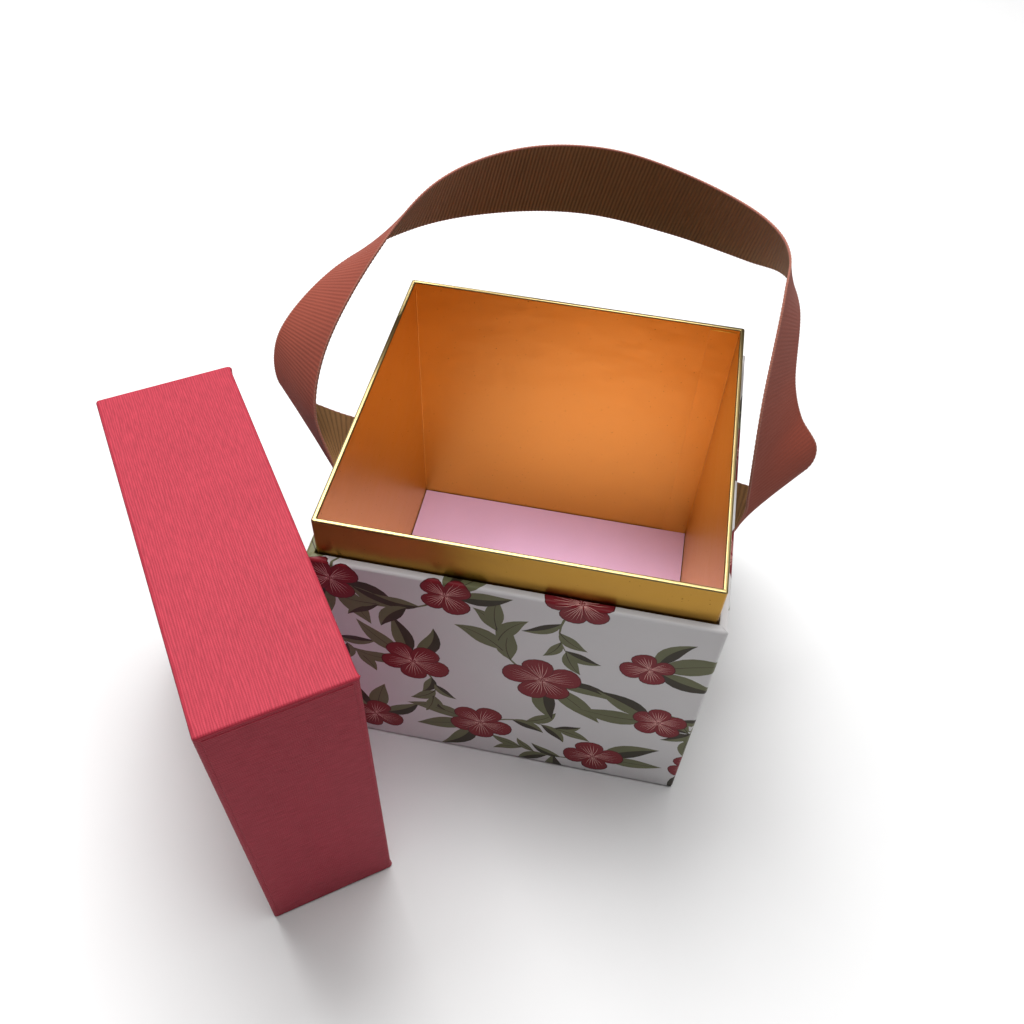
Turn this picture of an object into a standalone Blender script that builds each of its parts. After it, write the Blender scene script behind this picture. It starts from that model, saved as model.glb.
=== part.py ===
"""Rigid flower box: a printed base with a gold neck, a linen-paper lid standing beside it, a ribbon handle.

Metres, +Z up. The origin is the centre of the base's underside, +X is to the right and +Y to the back.
"""

import math

import bmesh
import bpy
from mathutils import Matrix, Vector

# Base: outside size of the wrapped tray
BASE_WIDTH = 0.120
BASE_DEPTH = 0.116
BASE_HEIGHT = 0.098
NECK_TOP = 0.112

# Lid: outside size of the wrapped lid, and where it stands
LID_WIDTH = 0.121
LID_DEPTH = 0.117
LID_HEIGHT = 0.039
LID_CORNER = Vector((-0.059, -0.127, 0.0))
LID_TURN = math.radians(36.0)

# Sheet thicknesses, and the glue lines between the sheets
BOARD = 0.0015
NECK_BOARD = 0.0009
FLOOR_BOARD = 0.0012
PAPER = 0.0003
FOIL = 0.0002
STAY = 0.0002
GLUE = 0.0001

# How far in from the base's outside face each layer starts
STAY_INSET = PAPER + GLUE
BOARD_INSET = STAY_INSET + STAY + GLUE
TURN_IN_INSET = BOARD_INSET + BOARD + GLUE
NECK_INSET = 0.003
NECK_BOARD_INSET = NECK_INSET + FOIL + GLUE
NECK_FOIL_INSET = NECK_BOARD_INSET + NECK_BOARD + GLUE
NECK_INSIDE_INSET = NECK_FOIL_INSET + FOIL
FLOOR_CLEARANCE = 0.0003

# Heights in the base
WRAP_BOTTOM = PAPER + GLUE
BOARD_BOTTOM = WRAP_BOTTOM + PAPER + GLUE
BOARD_TOP = BASE_HEIGHT - PAPER - GLUE
NECK_BOTTOM = BOARD_BOTTOM + BOARD + GLUE

# Folded edges of the papers
EDGE_RADIUS = 0.0007
FOLD_RADIUS = 0.0002
TURN_IN = 0.010
TURN_UNDER = 0.012
UNDERSIDE_INSET = 0.003
FOIL_BAND = 0.030
STAY_LEG = 0.012
STAY_CHAMFER = 0.00015
CORNER_STEPS = 4

# Ribbon and the slots that it leaves by
RIBBON_WIDTH = 0.025
RIBBON_THICKNESS = 0.0012
SLOT_LENGTH = 0.027
SLOT_HEIGHT = 0.0022
SLOT_Z = 0.083
TAB_THICKNESS = 0.0004
TAB_DROP = 0.026
STEPS_PER_STATION = 5

# The ribbon's two edges in millimetres, each pair the inner and the outer edge, from the left slot to the right
RIBBON_EDGES = (
    ((-60.5, -12.5, 83.0), (-60.5, 12.5, 83.0)),
    ((-63.0, -12.5, 83.0), (-74.0, 12.5, 85.5)),
    ((-66.0, -12.5, 84.5), (-89.0, 12.0, 92.0)),
    ((-68.0, -11.0, 89.0), (-92.0, 12.0, 96.0)),
    ((-73.0, -5.5, 101.0), (-94.0, 16.0, 103.0)),
    ((-72.0, 6.0, 117.0), (-92.0, 21.5, 111.5)),
    ((-60.5, 28.5, 139.5), (-78.0, 39.0, 124.5)),
    ((-46.0, 49.5, 154.0), (-55.5, 57.0, 131.5)),
    ((-24.0, 68.0, 158.0), (-29.5, 70.0, 133.0)),
    ((3.5, 78.5, 156.0), (-2.0, 79.0, 131.0)),
    ((32.5, 75.5, 151.5), (27.0, 79.5, 127.5)),
    ((56.0, 58.5, 150.5), (54.0, 69.5, 128.0)),
    ((62.5, 45.0, 149.5), (65.5, 61.0, 130.5)),
    ((62.5, 31.5, 145.0), (70.5, 49.0, 128.5)),
    ((61.5, 6.5, 123.5), (73.0, 27.5, 114.5)),
    ((62.5, -3.0, 107.0), (77.0, 22.5, 106.5)),
    ((63.5, -5.5, 96.0), (84.0, 19.0, 98.0)),
    ((64.0, -6.5, 90.0), (83.0, 15.5, 92.5)),
    ((62.5, -9.5, 85.5), (70.0, 11.0, 84.0)),
    ((60.5, -12.5, 83.0), (60.5, 12.5, 83.0)),
)

# Colour, roughness and metallic value of each finish
FINISHES = {
    "greyboard": ((0.32, 0.29, 0.25), 0.9, 0.0),
    "kraft_tape": ((0.45, 0.30, 0.16), 0.8, 0.0),
    "printed_paper": ((0.80, 0.77, 0.75), 0.35, 0.0),
    "white_paper": ((0.80, 0.79, 0.76), 0.6, 0.0),
    "gold_foil": ((0.80, 0.48, 0.12), 0.3, 1.0),
    "pink_paper": ((0.75, 0.36, 0.52), 0.55, 0.0),
    "ribbon_weave": ((0.24, 0.08, 0.05), 0.8, 0.0),
    "red_linen_paper": ((0.48, 0.04, 0.07), 0.5, 0.0),
}


def clear_scene():
    for scene_object in list(bpy.data.objects):
        bpy.data.objects.remove(scene_object, do_unlink=True)


def new_collection(name):
    collection = bpy.data.collections.new(name)
    bpy.context.scene.collection.children.link(collection)
    return collection


def finish(name):
    """The material of one finish, made the first time that it is asked for."""
    made = bpy.data.materials.get(name)
    if made:
        return made
    made = bpy.data.materials.new(name)
    made.use_nodes = True
    colour, roughness, metallic = FINISHES[name]
    shader = made.node_tree.nodes["Principled BSDF"]
    shader.inputs["Base Color"].default_value = (*colour, 1.0)
    shader.inputs["Roughness"].default_value = roughness
    shader.inputs["Metallic"].default_value = metallic
    return made


def add_object(name, shape, finish_name, collection):
    """Turns a bmesh into a named object with its finish, in its collection."""
    bmesh.ops.recalc_face_normals(shape, faces=shape.faces)
    mesh = bpy.data.meshes.new(name)
    shape.to_mesh(mesh)
    shape.free()
    mesh.materials.append(finish(finish_name))
    made = bpy.data.objects.new(name, mesh)
    collection.objects.link(made)
    return made


def add_box(name, low, high, finish_name, collection):
    """A plain board or sheet between two corners."""
    low = Vector(low)
    high = Vector(high)
    shape = bmesh.new()
    size = Matrix.Diagonal((*(high - low), 1.0))
    bmesh.ops.create_cube(shape, size=1.0, matrix=Matrix.Translation((low + high) / 2) @ size)
    return add_object(name, shape, finish_name, collection)


def round_rectangle(half_width, half_depth, radius):
    """Points round a rectangle with round corners, anticlockwise from the right side."""
    points = []
    for quarter in range(4):
        middle = Vector(
            (
                math.copysign(half_width - radius, (1, -1, -1, 1)[quarter]),
                math.copysign(half_depth - radius, (1, 1, -1, -1)[quarter]),
            )
        )
        for step in range(CORNER_STEPS + 1):
            angle = math.pi / 2 * (quarter + step / CORNER_STEPS)
            points.append(middle + radius * Vector((math.cos(angle), math.sin(angle))))
    return points


def folded_paper(name, half_width, half_depth, section, closed, finish_name, collection):
    """Lofts a paper round the box: each point of the section is an inset, a height and a corner radius.

    A closed section makes a ring. An open one starts and ends on a flat panel, so both ends are filled.
    """
    shape = bmesh.new()
    loops = []
    for inset, height, radius in section:
        outline = round_rectangle(half_width - inset, half_depth - inset, radius)
        loops.append([shape.verts.new((*point, height)) for point in outline])
    pairs = list(zip(loops, loops[1:]))
    if closed:
        pairs.append((loops[-1], loops[0]))
    for near, far in pairs:
        for i, start in enumerate(near):
            j = (i + 1) % len(near)
            shape.faces.new((start, near[j], far[j], far[i]))
    if not closed:
        shape.faces.new(loops[0])
        shape.faces.new(loops[-1])
    return add_object(name, shape, finish_name, collection)


def corner_stay(name, corner_x, corner_y, low_z, high_z, collection):
    """An L of paper tape round an outside corner: its outer faces meet at the corner point."""
    side_x = math.copysign(1.0, corner_x)
    side_y = math.copysign(1.0, corner_y)
    outline = (
        (0.0, STAY_CHAMFER),
        (STAY_CHAMFER, 0.0),
        (STAY_LEG, 0.0),
        (STAY_LEG, STAY),
        (STAY, STAY),
        (STAY, STAY_LEG),
        (0.0, STAY_LEG),
    )
    shape = bmesh.new()
    rim = [
        shape.verts.new((corner_x - side_x * along, corner_y - side_y * across, low_z))
        for along, across in outline
    ]
    lifted = bmesh.ops.extrude_face_region(shape, geom=[shape.faces.new(rim)])
    raised = [item for item in lifted["geom"] if isinstance(item, bmesh.types.BMVert)]
    bmesh.ops.translate(shape, vec=(0.0, 0.0, high_z - low_z), verts=raised)
    return add_object(name, shape, "kraft_tape", collection)


def wall_boards(prefix, half_width, half_depth, thickness, low_z, high_z, collection):
    """Four boards on edge: front and back run the full width, left and right fit between them."""
    inner_x = half_width - thickness
    inner_y = half_depth - thickness
    between = inner_y - GLUE
    spans = {
        "front": ((-half_width, -half_depth), (half_width, -inner_y)),
        "back": ((-half_width, inner_y), (half_width, half_depth)),
        "left": ((-half_width, -between), (-inner_x, between)),
        "right": ((inner_x, -between), (half_width, between)),
    }
    return {
        side: add_box(f"{prefix}_{side}", (*low, low_z), (*high, high_z), "greyboard", collection)
        for side, (low, high) in spans.items()
    }


def cut_slot(target, side, cutters):
    """Cuts the ribbon's slot through one side, right through every layer of the wall."""
    outside = side * (BASE_WIDTH / 2 + BOARD)
    inside = side * (BASE_WIDTH / 2 - NECK_INSET)
    cutter = add_box(
        f"slot_cutter_{target.name}_{'left' if side < 0 else 'right'}",
        (min(outside, inside), -SLOT_LENGTH / 2, SLOT_Z - SLOT_HEIGHT / 2),
        (max(outside, inside), SLOT_LENGTH / 2, SLOT_Z + SLOT_HEIGHT / 2),
        "greyboard",
        cutters,
    )
    cutter.hide_render = True
    cutter.display_type = "WIRE"
    cut = target.modifiers.new("Slot", "BOOLEAN")
    cut.operation = "DIFFERENCE"
    cut.object = cutter


def build_tray(parts, cutters):
    """The base tray: bottom board, four walls, corner stays, printed wrap and the sheet underneath."""
    half_width = BASE_WIDTH / 2
    half_depth = BASE_DEPTH / 2
    board_x = half_width - BOARD_INSET
    board_y = half_depth - BOARD_INSET
    inner_x = board_x - BOARD - GLUE
    inner_y = board_y - BOARD - GLUE
    bottom_top = BOARD_BOTTOM + BOARD
    add_box(
        "base_bottom_board",
        (-inner_x, -inner_y, BOARD_BOTTOM),
        (inner_x, inner_y, bottom_top),
        "greyboard",
        parts,
    )
    walls = wall_boards("base_wall", board_x, board_y, BOARD, BOARD_BOTTOM, BOARD_TOP, parts)
    cut_slot(walls["left"], -1, cutters)
    cut_slot(walls["right"], 1, cutters)
    stay_x = half_width - STAY_INSET
    stay_y = half_depth - STAY_INSET
    corners = ((-1, -1), (1, -1), (1, 1), (-1, 1))
    for number, (sign_x, sign_y) in enumerate(corners, start=1):
        corner_stay(
            f"base_corner_stay_{number}",
            sign_x * stay_x,
            sign_y * stay_y,
            BOARD_BOTTOM,
            BOARD_TOP,
            parts,
        )
    build_printed_wrap(half_width, half_depth, parts, cutters)
    add_box(
        "underside_sheet",
        (UNDERSIDE_INSET - half_width, UNDERSIDE_INSET - half_depth, 0.0),
        (half_width - UNDERSIDE_INSET, half_depth - UNDERSIDE_INSET, PAPER),
        "white_paper",
        parts,
    )


def build_printed_wrap(half_width, half_depth, parts, cutters):
    """One paper: up the outside, over the rim, down inside the wall, and turned under the bottom."""
    top = BASE_HEIGHT
    ease = EDGE_RADIUS / 3
    hem = TURN_IN_INSET + PAPER
    outer_skin = (
        (hem, top - TURN_IN, FOLD_RADIUS),
        (hem, top - ease, FOLD_RADIUS),
        (hem - ease, top, FOLD_RADIUS),
        (ease, top, EDGE_RADIUS),
        (0.0, top - ease, EDGE_RADIUS),
        (0.0, WRAP_BOTTOM + ease, EDGE_RADIUS),
        (ease, WRAP_BOTTOM, EDGE_RADIUS),
        (TURN_UNDER, WRAP_BOTTOM, FOLD_RADIUS),
    )
    inner_skin = (
        (TURN_UNDER, WRAP_BOTTOM + PAPER, FOLD_RADIUS),
        (PAPER, WRAP_BOTTOM + PAPER, EDGE_RADIUS - PAPER),
        (PAPER, top - PAPER, EDGE_RADIUS - PAPER),
        (TURN_IN_INSET, top - PAPER, FOLD_RADIUS),
        (TURN_IN_INSET, top - TURN_IN, FOLD_RADIUS),
    )
    section = outer_skin + inner_skin
    wrap = folded_paper("printed_wrap", half_width, half_depth, section, True, "printed_paper", parts)
    cut_slot(wrap, -1, cutters)
    cut_slot(wrap, 1, cutters)


def build_neck(parts):
    """The collar that the lid slides over: four thin boards in gold foil."""
    half_width = BASE_WIDTH / 2
    half_depth = BASE_DEPTH / 2
    board_x = half_width - NECK_BOARD_INSET
    board_y = half_depth - NECK_BOARD_INSET
    board_top = NECK_TOP - FOIL - GLUE
    wall_boards("neck_board", board_x, board_y, NECK_BOARD, NECK_BOTTOM, board_top, parts)
    section = (
        (NECK_INSET, NECK_TOP - FOIL_BAND, EDGE_RADIUS),
        (NECK_INSET, NECK_TOP, EDGE_RADIUS),
        (NECK_INSIDE_INSET, NECK_TOP, FOLD_RADIUS),
        (NECK_INSIDE_INSET, NECK_BOTTOM, FOLD_RADIUS),
        (NECK_FOIL_INSET, NECK_BOTTOM, FOLD_RADIUS),
        (NECK_FOIL_INSET, NECK_TOP - FOIL, FOLD_RADIUS),
        (NECK_INSET + FOIL, NECK_TOP - FOIL, FOLD_RADIUS),
        (NECK_INSET + FOIL, NECK_TOP - FOIL_BAND, FOLD_RADIUS),
    )
    folded_paper("neck_gold_foil", half_width, half_depth, section, True, "gold_foil", parts)


def build_floor(parts):
    """The loose pad inside the neck: a board with a pink paper over it."""
    floor_x = BASE_WIDTH / 2 - NECK_INSIDE_INSET - FLOOR_CLEARANCE
    floor_y = BASE_DEPTH / 2 - NECK_INSIDE_INSET - FLOOR_CLEARANCE
    board_top = NECK_BOTTOM + FLOOR_BOARD
    paper_bottom = board_top + GLUE
    add_box(
        "inner_floor_board",
        (-floor_x, -floor_y, NECK_BOTTOM),
        (floor_x, floor_y, board_top),
        "greyboard",
        parts,
    )
    add_box(
        "inner_floor_paper",
        (-floor_x, -floor_y, paper_bottom),
        (floor_x, floor_y, paper_bottom + PAPER),
        "pink_paper",
        parts,
    )


def build_ribbon_tab(name, side, parts):
    """One end of the ribbon: level through the slot, then pressed flat down the inside of the wall."""
    outer = BASE_WIDTH / 2
    glued_face = BASE_WIDTH / 2 - BOARD_INSET - BOARD - GLUE
    half_thick = RIBBON_THICKNESS / 2
    outline = (
        (outer, SLOT_Z + half_thick),
        (glued_face - TAB_THICKNESS, SLOT_Z + half_thick),
        (glued_face - TAB_THICKNESS, SLOT_Z - TAB_DROP),
        (glued_face, SLOT_Z - TAB_DROP),
        (glued_face, SLOT_Z - half_thick),
        (outer, SLOT_Z - half_thick),
    )
    shape = bmesh.new()
    rim = [shape.verts.new((side * x, -RIBBON_WIDTH / 2, z)) for x, z in outline]
    pulled = bmesh.ops.extrude_face_region(shape, geom=[shape.faces.new(rim)])
    moved = [item for item in pulled["geom"] if isinstance(item, bmesh.types.BMVert)]
    bmesh.ops.translate(shape, vec=(0.0, RIBBON_WIDTH, 0.0), verts=moved)
    add_object(name, shape, "ribbon_weave", parts)


def smooth_between(before, start, end, after, share):
    """A point of the smooth curve that passes through start and end, by centripetal spacing."""
    knots = [0.0]
    for near, far in ((before, start), (start, end), (end, after)):
        knots.append(knots[-1] + math.sqrt((far - near).length))
    t = knots[1] + (knots[2] - knots[1]) * share
    first = before.lerp(start, (t - knots[0]) / (knots[1] - knots[0]))
    second = start.lerp(end, (t - knots[1]) / (knots[2] - knots[1]))
    third = end.lerp(after, (t - knots[2]) / (knots[3] - knots[2]))
    left = first.lerp(second, (t - knots[0]) / (knots[2] - knots[0]))
    right = second.lerp(third, (t - knots[1]) / (knots[3] - knots[1]))
    return left.lerp(right, (t - knots[1]) / (knots[2] - knots[1]))


def smooth_edge(points):
    """One edge of the ribbon as closely spaced points along its smooth curve."""
    padded = [2 * points[0] - points[1], *points, 2 * points[-1] - points[-2]]
    curve = []
    for group in zip(padded, padded[1:], padded[2:], padded[3:]):
        for step in range(STEPS_PER_STATION):
            curve.append(smooth_between(*group, step / STEPS_PER_STATION))
    curve.append(points[-1])
    return curve


def build_ribbon(parts):
    """The handle's free ribbon: an open strip between its two edges, thickened. It turns about its slots."""
    pivot = Vector((0.0, 0.0, SLOT_Z))
    edges = [
        smooth_edge([Vector(pair[side]) / 1000 - pivot for pair in RIBBON_EDGES])
        for side in range(2)
    ]
    shape = bmesh.new()
    rows = [[shape.verts.new(point) for point in row] for row in zip(*edges)]
    for near, far in zip(rows, rows[1:]):
        shape.faces.new((near[0], near[1], far[1], far[0]))
    ribbon = add_object("ribbon_handle", shape, "ribbon_weave", parts)
    ribbon.location = pivot
    ribbon.data.shade_smooth()
    thick = ribbon.modifiers.new("Thickness", "SOLIDIFY")
    thick.thickness = RIBBON_THICKNESS
    thick.offset = 0.0
    thick.use_even_offset = True


def build_lid(parts):
    """The lid, built level with its open side down at z = 0, then stood on its left side by its empty."""
    half_width = LID_WIDTH / 2
    half_depth = LID_DEPTH / 2
    board_x = half_width - BOARD_INSET
    board_y = half_depth - BOARD_INSET
    rim = PAPER + GLUE
    board_top = LID_HEIGHT - PAPER - GLUE
    side_top = board_top - BOARD - GLUE
    top_panel = add_box(
        "lid_top_board",
        (-board_x, -board_y, board_top - BOARD),
        (board_x, board_y, board_top),
        "greyboard",
        parts,
    )
    sides = wall_boards("lid_side", board_x, board_y, BOARD, rim, side_top, parts)
    pieces = [top_panel, *sides.values()]
    corners = ((-1, -1), (1, -1), (1, 1), (-1, 1))
    for number, (sign_x, sign_y) in enumerate(corners, start=1):
        corner_x = sign_x * (half_width - STAY_INSET)
        corner_y = sign_y * (half_depth - STAY_INSET)
        stay = corner_stay(f"lid_corner_stay_{number}", corner_x, corner_y, rim, side_top, parts)
        pieces.append(stay)
    pieces.append(build_lid_wrap(half_width, half_depth, parts))
    pieces.append(build_lid_lining(half_width, half_depth, side_top, parts))
    stand_lid(pieces)


def build_lid_wrap(half_width, half_depth, parts):
    """The linen paper: the top panel, the four sides, and a hem turned up inside the rim."""
    ease = EDGE_RADIUS / 3
    hem = TURN_IN_INSET + PAPER
    section = (
        (ease, LID_HEIGHT, EDGE_RADIUS),
        (0.0, LID_HEIGHT - ease, EDGE_RADIUS),
        (0.0, ease, EDGE_RADIUS),
        (ease, 0.0, EDGE_RADIUS),
        (hem - ease, 0.0, FOLD_RADIUS),
        (hem, ease, FOLD_RADIUS),
        (hem, TURN_IN, FOLD_RADIUS),
        (TURN_IN_INSET, TURN_IN, FOLD_RADIUS),
        (TURN_IN_INSET, PAPER, FOLD_RADIUS),
        (PAPER, PAPER, EDGE_RADIUS - PAPER),
        (PAPER, LID_HEIGHT - PAPER, EDGE_RADIUS - PAPER),
    )
    return folded_paper(
        "lid_linen_wrap", half_width, half_depth, section, False, "red_linen_paper", parts
    )


def build_lid_lining(half_width, half_depth, side_top, parts):
    """The pink paper inside the lid: under the top panel and down the walls to the hem."""
    hem_top = TURN_IN + GLUE
    ceiling = side_top - GLUE
    section = (
        (TURN_IN_INSET, ceiling, FOLD_RADIUS),
        (TURN_IN_INSET, hem_top, FOLD_RADIUS),
        (TURN_IN_INSET + PAPER, hem_top, FOLD_RADIUS),
        (TURN_IN_INSET + PAPER, ceiling - PAPER, FOLD_RADIUS),
    )
    return folded_paper(
        "lid_lining", half_width, half_depth, section, False, "pink_paper", parts
    )


def stand_lid(pieces):
    """Stands the lid on its side next to the base, its opening towards the base, and fixes it there."""
    along = Vector((-math.sin(LID_TURN), math.cos(LID_TURN), 0.0))
    inward = Vector((math.cos(LID_TURN), math.sin(LID_TURN), 0.0))
    upward = Vector((0.0, 0.0, 1.0))
    turn = Matrix((upward, along, -inward)).transposed().to_4x4()
    rim_middle = (
        LID_CORNER + along * LID_DEPTH / 2 + inward * LID_HEIGHT + upward * LID_WIDTH / 2
    )
    stand = bpy.data.objects.new("lid_stand", None)
    pieces[0].users_collection[0].objects.link(stand)
    stand.matrix_world = Matrix.Translation(rim_middle) @ turn
    for piece in pieces:
        piece.parent = stand


def main():
    clear_scene()
    parts = new_collection("flower_box")
    cutters = new_collection("cutters")
    build_tray(parts, cutters)
    build_neck(parts)
    build_floor(parts)
    build_ribbon_tab("ribbon_tab_left", -1, parts)
    build_ribbon_tab("ribbon_tab_right", 1, parts)
    build_ribbon(parts)
    build_lid(parts)


if __name__ == "__main__":
    main()
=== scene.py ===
"""Looks of a florist's rigid gift box: printed tray, gold neck, linen lid and a grosgrain ribbon handle.

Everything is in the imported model's own frame: metres, +Z up, the origin under the middle of the tray.
"""

import logging
import math
import random
from collections.abc import Iterable, Mapping, Sequence
from dataclasses import dataclass
from enum import Enum, IntEnum
from typing import Any

import bmesh
import bpy
from mathutils import Matrix, Vector
from mathutils.geometry import delaunay_2d_cdt


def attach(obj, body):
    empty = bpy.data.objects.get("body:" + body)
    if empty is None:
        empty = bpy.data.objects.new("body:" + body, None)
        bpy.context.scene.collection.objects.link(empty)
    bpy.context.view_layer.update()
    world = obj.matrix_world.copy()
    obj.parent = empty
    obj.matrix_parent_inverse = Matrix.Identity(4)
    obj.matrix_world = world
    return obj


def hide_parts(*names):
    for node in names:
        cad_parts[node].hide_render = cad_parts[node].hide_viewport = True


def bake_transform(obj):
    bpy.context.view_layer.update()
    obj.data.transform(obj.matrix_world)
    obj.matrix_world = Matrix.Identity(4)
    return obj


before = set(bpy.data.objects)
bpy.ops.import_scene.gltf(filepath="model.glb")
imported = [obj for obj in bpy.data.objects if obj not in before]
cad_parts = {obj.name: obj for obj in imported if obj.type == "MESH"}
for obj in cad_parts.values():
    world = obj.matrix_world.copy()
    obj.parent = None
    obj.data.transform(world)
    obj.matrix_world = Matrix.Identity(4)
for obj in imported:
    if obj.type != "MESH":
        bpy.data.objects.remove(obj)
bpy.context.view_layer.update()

log = logging.getLogger("flower_box")

MM = 0.001
Colour = tuple[float, float, float]
Point = tuple[float, float]
Point3 = tuple[float, float, float]
SIDES = ("front", "back", "left", "right")


# Shader toolkit


class Wire:
    """One output of a shader node. Arithmetic on it adds Math nodes."""

    def __init__(self, bench: "ShaderBench", socket: bpy.types.NodeSocket) -> None:
        """Keeps the socket and the bench that it belongs to."""
        self.bench = bench
        self.socket = socket

    def maths(self, operation: str, left: "Wire | float", right: "Wire | float" = 0.0) -> "Wire":
        """Adds one Math node.

        Args:
            operation: The Math node's operation.
            left: Its first value.
            right: Its second value.

        Returns:
            The node's output.
        """
        return self.bench.add("ShaderNodeMath", {"operation": operation}, {0: left, 1: right})

    def __add__(self, other: "Wire | float") -> "Wire":
        """The sum."""
        return self.maths("ADD", self, other)

    __radd__ = __add__

    def __sub__(self, other: "Wire | float") -> "Wire":
        """The difference."""
        return self.maths("SUBTRACT", self, other)

    def __rsub__(self, other: float) -> "Wire":
        """The difference the other way, as in 1 - mask."""
        return self.maths("SUBTRACT", other, self)

    def __mul__(self, other: "Wire | float") -> "Wire":
        """The product."""
        return self.maths("MULTIPLY", self, other)

    __rmul__ = __mul__

    def sine(self) -> "Wire":
        """The sine of an angle in radians."""
        return self.maths("SINE", self)

    def above(self, edge: float) -> "Wire":
        """1 where the value is greater than the edge, otherwise 0."""
        return self.maths("GREATER_THAN", self, edge)

    def ridges(self, pitch: float) -> "Wire":
        """A smooth wave from 0 to 1 and back for every pitch of the value."""
        return (self * (2 * math.pi / pitch)).sine() * 0.5 + 0.5


class ShaderBench:
    """The node tree of one material, with its Principled shader."""

    def __init__(self, name: str) -> None:
        """Makes the material.

        Args:
            name: The material's name.
        """
        self.material = bpy.data.materials.new(name)
        self.material.use_nodes = True
        self.tree = self.material.node_tree
        self.shader = self.tree.nodes["Principled BSDF"]

    def hold(self, constants: Mapping[str, Any]) -> None:
        """Sets the shader's sockets that are the same all over, by name."""
        for socket, value in constants.items():
            self.shader.inputs[socket].default_value = value

    def plug(self, socket: bpy.types.NodeSocket, value: Any) -> None:
        """Links a wire into a socket, or sets the socket's value.

        Args:
            socket: The socket.
            value: The wire or the value.
        """
        if isinstance(value, Wire):
            self.tree.links.new(value.socket, socket)
        else:
            socket.default_value = value

    def add(
        self,
        kind: str,
        settings: Mapping[str, Any] | None = None,
        sockets: Mapping[int | str, Any] | None = None,
        output: int | str = 0,
    ) -> Wire:
        """Adds any node.

        Args:
            kind: The node's type.
            settings: The node's own settings, set first; "stops" fills a colour ramp.
            sockets: Values or wires for its inputs, by index or name.
            output: Which output to hand on.

        Returns:
            That output.
        """
        node = self.tree.nodes.new(kind)
        for name, value in (settings or {}).items():
            if name == "stops":
                fill_ramp(node.color_ramp, value)
            else:
                setattr(node, name, value)
        for socket, value in (sockets or {}).items():
            self.plug(node.inputs[socket], value)
        return Wire(self, node.outputs[output])

    def place(self, space: "Space") -> Wire:
        """Texture coordinates in millimetres."""
        read = self.add("ShaderNodeTexCoord", output=space.value)
        return read if space is Space.SHEET else self.stretch(read, (1 / MM,) * 3)

    def parts(self, vector: Wire) -> tuple[Wire, Wire, Wire]:
        """Splits a vector.

        Args:
            vector: The vector.

        Returns:
            Its three numbers.
        """
        split = self.add("ShaderNodeSeparateXYZ", sockets={0: vector})
        outputs = split.socket.node.outputs
        return Wire(self, outputs[0]), Wire(self, outputs[1]), Wire(self, outputs[2])

    def stretch(self, vector: Wire, factors: Sequence[float]) -> Wire:
        """A vector with each of its numbers multiplied."""
        return self.add("ShaderNodeVectorMath", {"operation": "MULTIPLY"}, {0: vector, 1: factors})

    def noise(self, vector: Wire, scale: float, detail: float = 2.0, rough: float = 0.5) -> Wire:
        """Cloudy noise from about 0 to 1.

        Args:
            vector: Where to read it.
            scale: Lumps for each unit of the vector.
            detail: How many finer octaves it has.
            rough: How strong the finer octaves are.

        Returns:
            The noise value.
        """
        sockets = {"Vector": vector, "Scale": scale, "Detail": detail, "Roughness": rough}
        return self.add("ShaderNodeTexNoise", sockets=sockets)

    def shades(self, value: Wire, colour: Colour, shares: Mapping[float, float]) -> Wire:
        """A colour made darker and lighter by a value.

        Args:
            value: What decides the shade.
            colour: The colour.
            shares: The share of it at each place on the colour ramp.

        Returns:
            The shade.
        """
        stops = [(place, dimmed(colour, share)) for place, share in shares.items()]
        return self.add("ShaderNodeValToRGB", {"stops": stops}, {0: value})

    def blend(self, share: "Wire | float", first: Any, second: Any) -> Wire:
        """Mixes two colours.

        Args:
            share: The second colour's share.
            first: The first colour.
            second: The second colour.

        Returns:
            The mixed colour.
        """
        ends = [(*end, 1.0) if isinstance(end, tuple) else end for end in (first, second)]
        sockets = {0: share, 6: ends[0], 7: ends[1]}
        return self.add("ShaderNodeMix", {"data_type": "RGBA"}, sockets, output=2)

    def emboss(self, height: Wire, depth: float, strength: float) -> None:
        """Feeds a height from 0 to 1 into the shader's normal.

        Args:
            height: The height.
            depth: What a height of 1 is, in metres.
            strength: The share of the effect.
        """
        bump = {"Height": height, "Distance": depth, "Strength": strength}
        self.feed("Normal", self.add("ShaderNodeBump", sockets=bump))

    def feed(self, socket: str, value: Wire) -> None:
        """Links a wire into one of the shader's sockets."""
        self.plug(self.shader.inputs[socket], value)


class Space(Enum):
    """Which coordinates a finish is laid on by: a sheet's, in millimetres, or a solid's, in metres."""

    SHEET = "UV"
    SOLID = "Object"


def fill_ramp(ramp: bpy.types.ColorRamp, stops: Sequence[tuple[float, Colour]]) -> None:
    """Sets a colour ramp's stops.

    Args:
        ramp: The colour ramp.
        stops: The place and the colour of each stop.
    """
    while len(ramp.elements) < len(stops):
        ramp.elements.new(1.0)
    for element, (position, colour) in zip(ramp.elements, stops):
        element.position = position
        element.color = (*colour, 1.0)


def dimmed(colour: Colour, share: float) -> Colour:
    """A colour with all three of its values multiplied."""
    return tuple(value * share for value in colour)


# Finishes


@dataclass(frozen=True)
class Finish:
    """A named finish in one main colour. Each kind paints its own surface."""

    name: str
    colour: Colour

    def make(self) -> bpy.types.Material:
        """Builds the material.

        Returns:
            The finished material.
        """
        bench = ShaderBench(self.name)
        self.paint(bench)
        return bench.material

    def paint(self, bench: ShaderBench) -> None:
        """Adds the surface to a new material's bench."""
        raise NotImplementedError


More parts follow.
